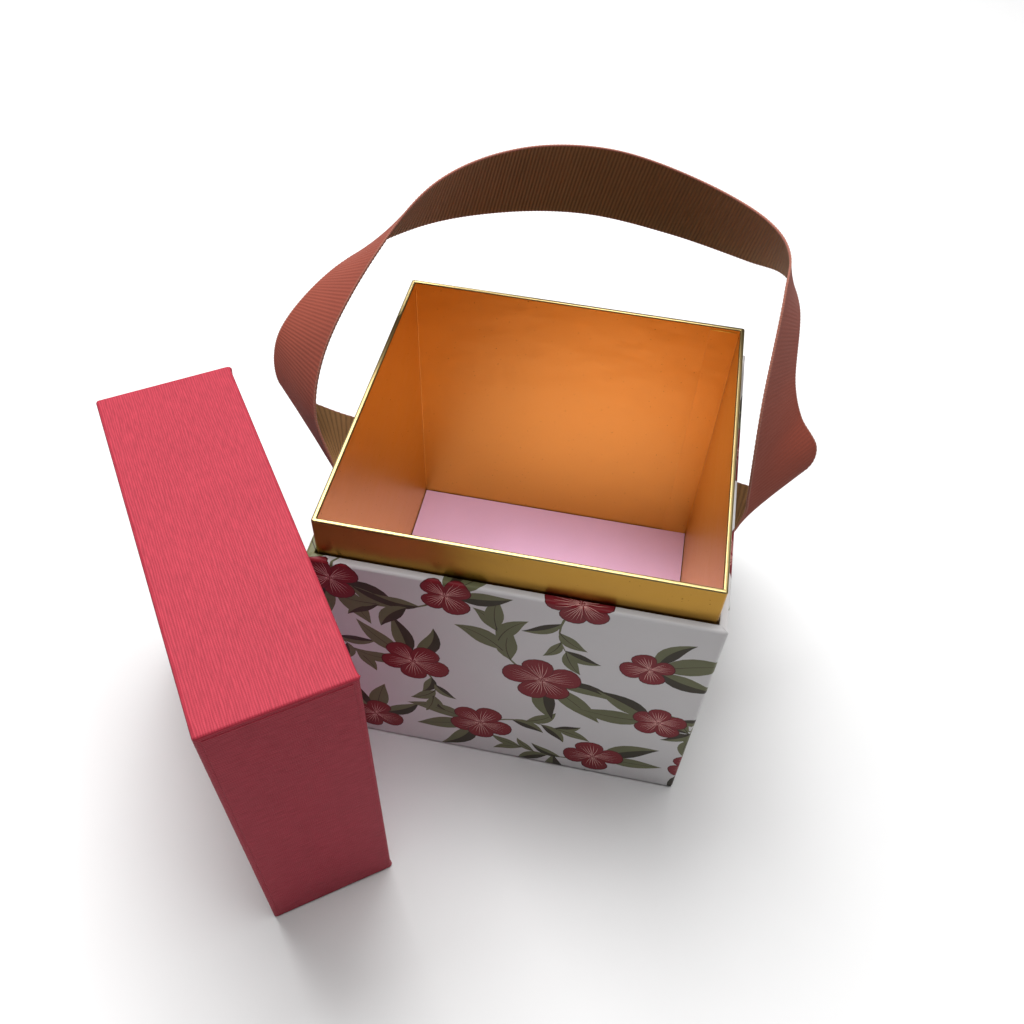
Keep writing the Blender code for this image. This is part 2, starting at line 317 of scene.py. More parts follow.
@dataclass(frozen=True)
class PaperFinish(Finish):
    """Paper or ink on paper: fine fibres, faint clouds of tone and a soft gloss."""

    roughness: float = 0.5
    mottle: float = 0.12
    gloss: float = 0.0
    shine: float = 0.5
    space: Space = Space.SHEET
    fibre_depth: float = 0.02 * MM

    def paint(self, bench: ShaderBench) -> None:
        """Adds the gloss, the fibres and the clouds.

        Args:
            bench: The new material's bench.
        """
        bench.hold(
            {
                "Coat Weight": self.gloss,
                "Coat Roughness": 0.28,
                "Specular IOR Level": self.shine,
            }
        )
        place = bench.place(self.space)
        fibres = bench.noise(bench.stretch(place, (1.0, 2.6, 1.0)), 2.2, 4.0, 0.62)
        clouds = bench.noise(place, 0.07, 3.0)
        tone = fibres * 0.55 + clouds * 0.45
        shares = {0.3: 1 - self.mottle, 0.7: 1 + self.mottle * 0.6}
        bench.feed("Base Color", bench.shades(tone, self.colour, shares))
        bench.feed("Roughness", fibres * 0.16 + (self.roughness - 0.08))
        bench.emboss(fibres, self.fibre_depth, 0.6)


@dataclass(frozen=True)
class LinenFinish(Finish):
    """Paper embossed with linen ribs, which lie side by side across the sheet's first direction."""

    pitch: float = 0.66
    rib_depth: float = 0.07 * MM

    def paint(self, bench: ShaderBench) -> None:
        """Adds the ribs, the weft, painted shade in the rib grooves and the streaks of tone.

        Args:
            bench: The new material's bench.
        """
        bench.hold(
            {
                "Sheen Weight": 0.03,
                "Sheen Roughness": 0.4,
                "Sheen Tint": (0.8, 0.85, 1.0, 1.0),
                "Specular IOR Level": 0.10,
            }
        )
        place = bench.place(Space.SHEET)
        across, along, _ = bench.parts(place)
        wander = bench.noise(bench.stretch(place, (0.5, 0.09, 1.0)), 1.0, 2.0)
        ribs = (across + wander * 0.9).ridges(self.pitch)
        fine = (across + wander * 1.3).ridges(self.pitch * 0.43)
        broken = bench.noise(bench.stretch(place, (2.2, 0.24, 1.0)), 1.0, 3.0, 0.6)
        streaks = bench.noise(bench.stretch(place, (1.5, 0.24, 1.0)), 1.0, 3.0, 0.6)
        weft = (along + broken * 0.8).ridges(self.pitch * 0.8)
        clouds = bench.noise(place, 0.05, 3.0)
        height = ribs * broken * 0.8 + fine * 0.14 + weft * 0.12
        # Painted shade: the base colour follows the rib height, darker in the grooves. The streaks, clouds
        # and broken noise are the paper's own tone.
        tone = height * 0.55 + streaks * 0.38 + clouds * 0.12 + broken * 0.12
        bench.feed("Base Color", bench.shades(tone, self.colour, {0.32: 0.74, 0.66: 1.20}))
        bench.feed("Roughness", 0.60 - height * 0.16)
        bench.emboss(height, self.rib_depth, 0.9)


@dataclass(frozen=True)
class FoilFinish(Finish):
    """Metallised card: satin, faintly rippled, with a few pinprick specks."""

    roughness: float

    def paint(self, bench: ShaderBench) -> None:
        """Adds the metal, its grain, ripples and specks.

        Args:
            bench: The new material's bench.
        """
        bench.hold({"Metallic": 1.0})
        place = bench.place(Space.SHEET)
        ripples = bench.noise(bench.stretch(place, (0.05, 0.09, 1.0)), 1.0, 2.0)
        grain = bench.noise(bench.stretch(place, (1.0, 5.0, 1.0)), 3.0, 3.0, 0.6)
        specks = bench.noise(place, 1.1, 1.0).above(0.755)
        colour = bench.shades(grain, self.colour, {0.3: 0.93, 0.7: 1.0})
        bench.feed("Base Color", bench.blend(specks * 0.7, colour, dimmed(self.colour, 0.4)))
        bench.feed("Roughness", grain * 0.08 + specks * 0.3 + (self.roughness - 0.04))
        bench.emboss(ripples + grain * 0.012, 0.5 * MM, 0.5)


@dataclass(frozen=True)
class GrosgrainFinish(Finish):
    """Ribbon cloth: close weft ribs across the width, with painted shade between the ribs and soft lint on
    top.
    """

    rib_pitch: float
    groove_shade: float = 0.55
    lint: float = 0.2
    space: Space = Space.SHEET

    def paint(self, bench: ShaderBench) -> None:
        """Adds the lint, the ribs and the yarn.

        Args:
            bench: The new material's bench.
        """
        bench.hold(
            {
                "Sheen Weight": self.lint,
                "Sheen Roughness": 0.5,
                "Sheen Tint": (1.0, 0.86, 0.8, 1.0),
                "Specular IOR Level": 0.3,
            }
        )
        place = bench.place(self.space)
        across, along, up = bench.parts(place)
        length = along if self.space is Space.SHEET else up
        ribs = length.ridges(self.rib_pitch)
        ends = (across + ribs * 0.17).ridges(0.34)
        yarn = bench.noise(bench.stretch(place, (0.9, 4.0, 4.0)), 1.4, 3.0, 0.65)
        clouds = bench.noise(place, 0.06, 2.0)
        height = ribs * 0.62 + ends * 0.2 + yarn * 0.3
        # Painted shade: the colour darkens between the ribs, most strongly on the ribbon's inside. Yarn
        # and clouds are the cloth's own tone.
        tone = ribs * self.groove_shade + yarn * 0.32 + clouds * 0.25 + (0.25 - self.groove_shade * 0.25)
        bench.feed("Base Color", bench.shades(tone, self.colour, {0.2: 0.6, 0.8: 1.18}))
        bench.feed("Roughness", 0.92 - yarn * 0.15)
        bench.emboss(height, 0.09 * MM, 0.8)


@dataclass(frozen=True)
class BoardFinish(Finish):
    """Grey or brown board: pressed pulp with long flecks of fibre."""

    fleck: Colour

    def paint(self, bench: ShaderBench) -> None:
        """Adds the pulp and the flecks.

        Args:
            bench: The new material's bench.
        """
        bench.hold({"Specular IOR Level": 0.25})
        place = bench.place(Space.SOLID)
        pulp = bench.noise(place, 0.9, 5.0, 0.7)
        flecks = bench.noise(bench.stretch(place, (1.0, 1.0, 5.0)), 0.42, 2.0).above(0.62)
        body = bench.shades(pulp, self.colour, {0.25: 0.75, 0.75: 1.15})
        bench.feed("Base Color", bench.blend(flecks * 0.5, body, self.fleck))
        bench.feed("Roughness", pulp * 0.12 + 0.82)
        bench.emboss(pulp, 0.06 * MM, 0.7)


PAPER_WHITE = PaperFinish("print_white_paper", (0.66, 0.645, 0.65), 0.42, 0.03, 0.12, 0.2)
PETAL_RED = PaperFinish("print_petal_red", (0.225, 0.016, 0.024), 0.42, 0.18, 0.1, 0.1)
PETAL_EDGE = PaperFinish("print_petal_edge", (0.095, 0.006, 0.011), 0.42, 0.18, 0.1, 0.1)
VEIN_PINK = PaperFinish("print_vein_pink", (0.80, 0.42, 0.38), 0.42, 0.10, 0.1, 0.1)
LEAF_OLIVE = PaperFinish("print_leaf_olive", (0.155, 0.158, 0.080), 0.42, 0.12, 0.1, 0.1)
LEAF_SHADE = PaperFinish("print_leaf_shade", (0.045, 0.036, 0.021), 0.42, 0.16, 0.1, 0.1)
PAPER_BACK = PaperFinish("print_paper_back", (0.78, 0.76, 0.72), 0.75, 0.06)
WHITE_PAPER = PaperFinish("white_underside_paper", (0.80, 0.79, 0.76), 0.62, 0.05, space=Space.SOLID)
# Painted light: this floor copy of the pink paper is bluer than the lid's lining. The extra blue cancels
# the orange light that the gold walls bounce onto the floor.
PINK_FLOOR_COUNTER_TINTED = PaperFinish("pink_floor_paper_bounce_counter_tint", (0.90, 0.58, 0.92), 0.50, 0.05, space=Space.SOLID)
PINK_LINING = PaperFinish("pink_lining_paper", (0.86, 0.50, 0.68), 0.55, 0.06, space=Space.SOLID)
LINEN_RED = LinenFinish("crimson_linen_paper", (0.375, 0.034, 0.054))
# Painted shade: the outside copy of the gold foil is much darker than the inside one. It stands in for the
# dark surroundings that the foil reflects.
FOIL_OUTSIDE_SHADED = FoilFinish("gold_foil_outside_painted_shade", (0.42, 0.225, 0.036), 0.30)
FOIL_INSIDE = FoilFinish("gold_foil_inside", (0.765, 0.46, 0.078), 0.38)
# Painted highlight: a paler, yellower copy of the gold foil, given to the rim faces that point up towards
# the lights.
FOIL_RIM_HIGHLIGHT = FoilFinish("gold_foil_rim_painted_highlight", (0.40, 0.305, 0.135), 0.36)
RIBBON_OUTSIDE = GrosgrainFinish("ribbon_terracotta", (0.265, 0.053, 0.030), 1.2, 0.09, 0.04)
RIBBON_INSIDE = GrosgrainFinish("ribbon_brown", (0.21, 0.105, 0.038), 1.2, 0.62, 0.04)
RIBBON_SELVEDGE = GrosgrainFinish("ribbon_selvedge", (0.30, 0.105, 0.07), 0.6, 0.30, 0.3)
RIBBON_TAB = GrosgrainFinish("ribbon_tab", (0.30, 0.12, 0.07), 1.2, 0.5, 0.2, Space.SOLID)
GREYBOARD = BoardFinish("greyboard_pulp", (0.33, 0.30, 0.26), (0.16, 0.14, 0.12))
KRAFT_TAPE = BoardFinish("kraft_tape_fibre", (0.45, 0.30, 0.16), (0.30, 0.18, 0.09))
STUDIO_FLOOR = PaperFinish("studio_floor", (0.72, 0.72, 0.72), 0.85, 0.01, space=Space.SOLID)
PRINT_SLOTS = (PAPER_WHITE, PETAL_RED, PETAL_EDGE, VEIN_PINK, LEAF_OLIVE, LEAF_SHADE, PAPER_BACK)


# Mesh helpers


def new_object(name: str, mesh: bpy.types.Mesh, finishes: Iterable[Finish]) -> bpy.types.Object:
    """Links a mesh as an object with its finishes.

    Args:
        name: The piece's name.
        mesh: Its mesh.
        finishes: What its material slots hold, in order.

    Returns:
        The new object.
    """
    for finish in finishes:
        mesh.materials.append(finish.make())
    made = bpy.data.objects.new(name, mesh)
    bpy.context.scene.collection.objects.link(made)
    return made


def soften_normals(piece: bpy.types.Object) -> None:
    """Shades round folds smoothly and leaves the flat panels between them flat.

    Args:
        piece: The folded piece.
    """
    piece.data.shade_smooth()
    weigh = piece.modifiers.new("Even panels", "WEIGHTED_NORMAL")
    weigh.mode = "FACE_AREA"
    weigh.weight = 100


def thicken(piece: bpy.types.Object, thickness: float, back_slot: int = 0) -> None:
    """Gives a sheet its thickness on the side away from its normals.

    Args:
        piece: The sheet.
        thickness: How thick it is.
        back_slot: How many material slots further on the sheet's back takes its finish from.
    """
    body = piece.modifiers.new("Thickness", "SOLIDIFY")
    body.thickness = thickness
    body.offset = -1.0
    body.material_offset = back_slot


def mesh_of(shape: bmesh.types.BMesh, name: str) -> bpy.types.Mesh:
    """Makes a mesh of a shape that is finished.

    Args:
        shape: The shape, which is freed.
        name: The mesh's name.

    Returns:
        The mesh.
    """
    mesh = bpy.data.meshes.new(name)
    shape.to_mesh(mesh)
    shape.free()
    return mesh


def add_slab(shape: bmesh.types.BMesh, low: Point3, high: Point3, bevel: float) -> None:
    """Adds a slab with softened edges.

    Args:
        shape: The mesh that it joins.
        low: Its lowest corner.
        high: Its highest corner.
        bevel: How far its edges are cut back.
    """
    size = Vector(high) - Vector(low)
    place = Matrix.Translation(Vector(low) + size / 2) @ Matrix.Diagonal((*size, 1.0))
    corners = set(bmesh.ops.create_cube(shape, size=1.0, matrix=place)["verts"])
    edges = [edge for edge in shape.edges if edge.verts[0] in corners]
    bmesh.ops.bevel(shape, geom=edges, offset=bevel, segments=2, affect="EDGES", profile=0.5)


def rectangle(low: Point, high: Point) -> list[Vector]:
    """A flat rectangle's corners, counter-clockwise from the lower left one."""
    return [Vector(corner) for corner in (low, (high[0], low[1]), high, (low[0], high[1]))]


def rounded_path(corners: Sequence[Point], radii: Sequence[float], steps: int) -> list[Point]:
    """A line through corner points, with each inner corner rounded by an arc.

    Args:
        corners: The points where the sharp line would turn.
        radii: The arc's radius at each inner corner.
        steps: Straight pieces in each arc.

    Returns:
        The points of the line.
    """
    path = [Vector(corners[0])]
    for before, corner, after, radius in zip(corners, corners[1:], corners[2:], radii):
        near = (Vector(before) - Vector(corner)).normalized()
        far = (Vector(after) - Vector(corner)).normalized()
        middle = Vector(corner) + radius * (near + far)
        for step in range(steps + 1):
            angle = math.pi / 2 * step / steps
            path.append(middle - radius * (far * math.cos(angle) + near * math.sin(angle)))
    path.append(Vector(corners[-1]))
    return [tuple(point) for point in path]


@dataclass(frozen=True)
class Ears:
    """The small puffs of tucked paper where a folded edge turns a corner of the box."""

    edge: float
    height: float
    reach: float = 1.2 * MM

    def lift(self, past_corner: float, along: float) -> float:
        """How far the paper stands up.

        Args:
            past_corner: Distance from the corner, round the box.
            along: Distance along the paper's section.

        Returns:
            The height above the folded paper.
        """
        away = (past_corner / self.reach) ** 2 + ((along - self.edge) / self.reach) ** 2
        return self.height * math.exp(-away)


class FoldedSheet:
    """A sheet folded round a box: u runs round the box from the front's middle, v along the fold.

    The section lists the inset from the box's outside face and the height of each point that v passes.
    """

    TIGHTEST = 0.2 * MM
    BESIDE_CORNER = (0.5 * MM, 1.1 * MM, 1.9 * MM, 3.0 * MM)

    def __init__(
        self,
        half_width: float,
        half_depth: float,
        corner_radius: float,
        section: Sequence[Point],
        start: float = 0.0,
        ears: Ears | None = None,
    ) -> None:
        """Works out the distances along the section and round the box.

        Args:
            half_width: Half of the outside width.
            half_depth: Half of the outside depth.
            corner_radius: Radius of the four upright corners.
            section: Inset and height of each point.
            start: The value of v at the first point.
            ears: The tucked paper at the corners, if it has any.
        """
        self.half = (half_width, half_depth)
        self.radius = corner_radius
        self.section = section
        self.ears = ears
        self.v_marks = [start]
        for near, far in zip(section, section[1:]):
            self.v_marks.append(self.v_marks[-1] + math.dist(near, far))
        self.arc = math.pi / 2 * corner_radius
        self.straights = (2 * (half_width - corner_radius), 2 * (half_depth - corner_radius)) * 2
        self.girth = sum(self.straights) + 4 * self.arc

    def at(self, v: float) -> Point:
        """Finds a point of the section.

        Args:
            v: The distance along the section.

        Returns:
            Its inset and its height.
        """
        for low, high, near, far in zip(self.v_marks, self.v_marks[1:], self.section, self.section[1:]):
            if v <= high or far == self.section[-1]:
                share = (v - low) / (high - low)
                return tuple(a + (b - a) * share for a, b in zip(near, far))
        return self.section[-1]

    def place(self, u: float, v: float) -> Vector:
        """Folds one point of the flat sheet into space.

        Args:
            u: Distance round the box.
            v: Distance along the section.

        Returns:
            The point in the box's frame.
        """
        inset, height = self.at(v)
        radius = max(self.radius - inset, self.TIGHTEST)
        left = (u + self.straights[0] / 2) % self.girth
        for side, straight in enumerate(self.straights):
            out = Vector((math.sin(side * math.pi / 2), -math.cos(side * math.pi / 2)))
            along = Vector((-out.y, out.x))
            reach = self.half[1 - side % 2] - inset
            run = self.half[side % 2] - inset - radius
            if left <= straight:
                point = out * reach + along * run * (2 * left / straight - 1)
                past = min(left, straight - left) + self.arc / 2
                break
            left -= straight
            if left <= self.arc or side == 3:
                angle = left / self.radius
                turn = out * math.cos(angle) + along * math.sin(angle)
                point = out * (reach - radius) + along * run + turn * radius
                past = abs(left - self.arc / 2)
                break
            left -= self.arc
        if self.ears:
            lift = self.ears.lift(past, v)
            point = point * (1 + 0.5 * lift / point.length)
            height += lift
        return Vector((*point, height))

    def u_marks(self, arc_steps: int) -> list[float]:
        """Where the sheet bends round the upright corners, with closer lines where the paper is tucked.

        Args:
            arc_steps: Straight pieces in each corner's arc.

        Returns:
            The distances round the box, in order.
        """
        beside = self.BESIDE_CORNER
        marks = []
        corner = self.straights[0] / 2
        for straight in (*self.straights[1:], self.straights[0]):
            marks += [corner + self.arc * step / arc_steps for step in range(arc_steps + 1)]
            marks += [corner - gap for gap in beside] + [corner + self.arc + gap for gap in beside]
            corner += self.arc + straight
        return sorted((mark + self.girth / 2) % self.girth - self.girth / 2 for mark in marks)

    def grid(self, arc_steps: int) -> bmesh.types.BMesh:
        """Folds the sheet as a grid that closes round the box, with its flat coordinates in millimetres.

        Args:
            arc_steps: Straight pieces in each upright corner's arc.

        Returns:
            The shape.
        """
        marks = self.u_marks(arc_steps)
        ends = [*marks, marks[0] + self.girth]
        shape = bmesh.new()
        layer = shape.loops.layers.uv.new("sheet")
        rings = [[shape.verts.new(self.place(u, v)) for u in marks] for v in self.v_marks]
        for row, (near, far) in enumerate(zip(rings, rings[1:])):
            low, high = (v / MM for v in self.v_marks[row : row + 2])
            for column in range(len(marks)):
                beyond = (column + 1) % len(marks)
                face = shape.faces.new((near[column], near[beyond], far[beyond], far[column]))
                flat = rectangle((ends[column] / MM, low), (ends[column + 1] / MM, high))
                for loop, corner in zip(face.loops, flat):
                    loop[layer].uv = corner
        shape.normal_update()
        return shape


# The print


class Ink(IntEnum):
    """What a patch of the printed paper is covered with, in the order of the material slots."""

    PAPER = 0
    PETAL = 1
    EDGE = 2
    VEIN = 3
    LEAF = 4
    SHADE = 5
    BACK = 6
    HOLE = 7


Patch = tuple[Ink, list[Vector]]
OLIVE = (Ink.LEAF, Ink.LEAF)
LEAF_TONES = ((Ink.LEAF, Ink.SHADE), (Ink.SHADE, Ink.LEAF), OLIVE)


def turned(angle: float, along: float, across: float) -> Vector:
    """A flat vector of so much along a direction and so much across it.

    Args:
        angle: The direction, in radians.
        along: How far along it.
        across: How far to its left.

    Returns:
        The vector.
    """
    return Vector(
        (
            along * math.cos(angle) - across * math.sin(angle),
            along * math.sin(angle) + across * math.cos(angle),
        )
    )


@dataclass(frozen=True)
class Flower:
    """A flower of round petals with pale veins. Millimetres on the flat paper, degrees."""

    PETAL_POINTS = 18
    VEINS = 6
    STAR_RAYS = 7
    HALF_VEIN = 0.095
    EDGE_AT_TIP = 0.3
    EDGE_AT_SIDE = 0.28

    middle: Vector
    reach: float
    turn: float
    petals: int

    def patches(self, chance: random.Random) -> list[Patch]:
        """Draws the petals, then their veins and the small star in the middle.

        Args:
            chance: Where the small irregularities come from.

        Returns:
            The patches, lowest first.
        """
        petals: list[Patch] = []
        veins: list[Patch] = []
        fullness = 0.53 if self.petals == 4 else 0.46
        for number in range(self.petals):
            angle = math.radians(self.turn + 360 * number / self.petals + chance.uniform(-8, 8))
            length = self.reach * chance.uniform(0.90, 1.06)
            width = length * fullness * chance.uniform(0.94, 1.06)
            petals.append((Ink.EDGE, self._petal(angle, length, width)))
            inside = self._petal(angle, length - self.EDGE_AT_TIP, width - self.EDGE_AT_SIDE)
            petals.append((Ink.PETAL, inside))
            for vein in range(self.VEINS):
                share = (vein + 0.5) / self.VEINS * 2 - 1
                tip = length * (0.90 - 0.20 * share**2) * chance.uniform(0.82, 1.0)
                veins.append((Ink.VEIN, self._vein(angle, tip, share * width * 0.72)))
        for ray in range(self.STAR_RAYS):
            angle = math.radians(360 / self.STAR_RAYS * ray + self.turn)
            veins.append((Ink.VEIN, self._vein(angle, self.reach * 0.2, 0.0)))
        return petals + veins

    def _petal(self, angle: float, length: float, width: float) -> list[Vector]:
        """Draws one petal: narrow at the middle of the flower and widest two thirds of the way out.

        Args:
            angle: Where it points, in radians.
            length: How far it reaches.
            width: Half of its width.

        Returns:
            Its outline.
        """
        outline = []
        for step in range(self.PETAL_POINTS):
            turn = 2 * math.pi * step / self.PETAL_POINTS
            along = length * (0.5 - 0.5 * math.cos(turn))
            swell = 0.55 + 0.45 * along / length
            outline.append(self.middle + turned(angle, along, -width * math.sin(turn) * swell * 1.12))
        return outline

    def _vein(self, angle: float, tip: float, across: float) -> list[Vector]:
        """Draws one vein: a thin sliver that bows outwards to its tip.

        Args:
            angle: Where the petal points, in radians.
            tip: How far along the petal the vein ends.
            across: How far to the petal's side it ends.

        Returns:
            Its outline.
        """
        half = self.HALF_VEIN
        start = tip * 0.12
        line = (
            (start, across * 0.10, half * 0.6),
            (tip * 0.55, across * 0.62, half),
            (tip, across, 0.0),
            (tip * 0.55, across * 0.62, -half),
            (start, across * 0.10, -half * 0.6),
        )
        return [self.middle + turned(angle, along, aside - side) for along, aside, side in line]


@dataclass(frozen=True)
class Leaf:
    """A pointed leaf, one tone or two on either side of its bent rib. Millimetres."""

    root: Vector
    tip: Vector
    width: float
    bend: float
    halves: tuple[Ink, Ink]
    points: int = 8

    def spine(self, share: float) -> Vector:
        """Finds a point of the rib.

        Args:
            share: The share of its length.

        Returns:
            The point.
        """
        run = self.tip - self.root
        sideways = Vector((-run.y, run.x)) * self.bend
        return self.root + run * share + sideways * 4 * share * (1 - share)

    def outward(self, share: float) -> Vector:
        """Finds the direction square to the rib.

        Args:
            share: The share of the rib's length.

        Returns:
            The direction, to the left of the rib.
        """
        step = 0.01
        run = self.spine(share + step) - self.spine(share - step)
        return Vector((-run.y, run.x)).normalized()

    def edge(self, share: float, side: float) -> Vector:
        """A point of the leaf's edge on one side of its rib."""
        swell = math.sin(math.pi * share**0.85) ** 1.1
        return self.spine(share) + self.outward(share) * side * swell * self.width / 2

    def patches(self) -> list[Patch]:
        """Draws the two halves, and a dark rib between them if they are alike.

        Returns:
            The patches, lowest first.
        """
        shares = [step / self.points for step in range(self.points + 1)]
        spine = [self.spine(share) for share in shares]
        left = [self.edge(share, 1.0) for share in reversed(shares[1:-1])]
        right = [self.edge(share, -1.0) for share in shares[1:-1]]
        drawn = [
            (self.halves[0], spine + left),
            (self.halves[1], [spine[0], *right, *reversed(spine[1:])]),
        ]
        if self.halves == OLIVE:
            drawn.append((Ink.SHADE, strip(self, 0.32)))
        return drawn


def strip(line: Leaf, width: float) -> list[Vector]:
    """The outline of a strip that runs along a leaf's rib and narrows to its tip.

    Args:
        line: The leaf.
        width: The strip's width at the root, in millimetres.

    Returns:
        The outline's points, in millimetres.
    """
    steps = 8
    outline = []
    for side, order in ((-1.0, range(steps + 1)), (1.0, range(steps, -1, -1))):
        for step in order:
            share = step / steps * 0.94
            reach = side * width / 2 * (1 - 0.7 * share)
            outline.append(line.spine(share) + line.outward(share) * reach)
    return outline


@dataclass(frozen=True)
class Posy:
    """A flower, a fan of leaves on one side of it and a bent sprig on the other. Millimetres, degrees."""

    FAN_STEP = 33
    SPRIG_SHARES = (0.42, 0.60, 0.78, 0.93)

    x: float
    z: float
    reach: float
    heading: float
    petals: int = 5
    fan: int = 3
    sprig: float = 24.0
    leaves: float = 11.5
    sprig_turn: float = 165.0

    def greenery(self, chance: random.Random) -> list[Patch]:
        """Draws the fan and the sprig.

        Args:
            chance: Where the small irregularities come from.

        Returns:
            The patches, lowest first.
        """
        middle = Vector((self.x, self.z))
        drawn: list[Patch] = []
        for number in range(self.fan):
            spread = (number - (self.fan - 1) / 2) * self.FAN_STEP + chance.uniform(-5, 5)
            angle = math.radians(self.heading + spread)
            length = chance.uniform(16.5, 22.0) * (1 - abs(spread) / 260)
            tip = middle + turned(angle, self.reach * 0.6 + length, 0.0)
            root = middle + turned(math.radians(self.heading + spread * 0.7), self.reach * 0.3, 0.0)
            width = length * chance.uniform(0.34, 0.46)
            bend = spread / self.FAN_STEP * 0.10 + 0.02
            drawn += Leaf(root, tip, width, bend, chance.choice(LEAF_TONES)).patches()
        return drawn + self._sprig(middle, chance) if self.sprig else drawn

    def _sprig(self, middle: Vector, chance: random.Random) -> list[Patch]:
        """Draws the stalk, its leaves in turn on either side and the leaf at its end.

        Args:
            middle: The flower's middle, where the stalk starts.
            chance: Where the small irregularities come from.

        Returns:
            The patches, lowest first.
        """
        angle = math.radians(self.heading + self.sprig_turn)
        bend = chance.choice((-0.16, 0.16))
        end = middle + turned(angle, self.sprig, 0.0)
        stalk = Leaf(middle, end, 0.0, bend, OLIVE)
        drawn: list[Patch] = [(Ink.LEAF, strip(stalk, 1.0))]
        for number, share in enumerate(self.SPRIG_SHARES):
            side = 1 if number % 2 else -1
            root = stalk.spine(share)
            along = stalk.spine(share + 0.05) - stalk.spine(share - 0.05)
            lean = math.atan2(along.y, along.x) + side * math.radians(chance.uniform(34, 48))
            length = self.leaves * chance.uniform(0.88, 1.12) * (1.2 - 0.35 * share)
            tip = root + turned(lean, length, 0.0)
            width = length * chance.uniform(0.32, 0.42)
            drawn += Leaf(root, tip, width, -side * 0.10, chance.choice(LEAF_TONES)).patches()
        last = end - stalk.spine(0.9)
        tip = end + last.normalized() * self.leaves * 0.9
        return drawn + Leaf(stalk.spine(0.96), tip, self.leaves * 0.36, bend * 0.4, OLIVE).patches()

    def blossom(self, chance: random.Random) -> list[Patch]:
        """Draws the flower."""
        middle = Vector((self.x, self.z))
        return Flower(middle, self.reach, self.heading, self.petals).patches(chance)


# One repeat of the print, as wide as a quarter of the way round the tray
POSIES = (
    Posy(-45, 13, 9.5, 75, 4, 3, 25, 12.0),
    Posy(-8, 21, 11.5, 205, 5, 3, 27, 12.5),
    Posy(31, 12, 10.5, 20, 4, 2, 26, 11.5),
    Posy(-30, 53, 11.5, 120, 5, 4, 22, 11.0),
    Posy(11, 56, 12.0, 315, 5, 3, 29, 16.0),
    Posy(49, 43, 9.5, 165, 5, 2, 24, 12.0),
    Posy(42, 73, 8.5, 20, 4, 3, 0),
    Posy(-53, 91, 9.5, 300, 4, 3, 26, 13.0),
    Posy(-19, 92, 9.0, 40, 4, 3, 24, 14.0),
    Posy(20, 99, 10.5, 100, 5, 3, 26, 12.5),
)


@dataclass(frozen=True)
class FloralPrint:
    """The pattern: the same posies in each quarter of the way round, dropped by another amount in each."""

    repeat_height: float = 118.0
    drops: tuple[float, ...] = (78.0, 21.0, 0.0, 43.0, 78.0)
    seed: int = 7

    def patches(self, quarter: float) -> list[Patch]:
        """Draws every repeat.

        Args:
            quarter: A quarter of the way round the tray, in millimetres.

        Returns:
            The patches, all greenery below all flowers.
        """
        greenery: list[Patch] = []
        flowers: list[Patch] = []
        for number, posy in enumerate(POSIES):
            chance = random.Random(self.seed + number)
            greenery += posy.greenery(chance)
            flowers += posy.blossom(chance)
        drawn: list[Patch] = []
        for layer in (greenery, flowers):
            for column, drop in enumerate(self.drops):
                for row in (-1, 0, 1):
                    shift = Vector(((column - 2) * quarter, row * self.repeat_height + drop))
                    drawn += [(ink, [point + shift for point in outline]) for ink, outline in layer]
        return drawn


# Sub-assemblies


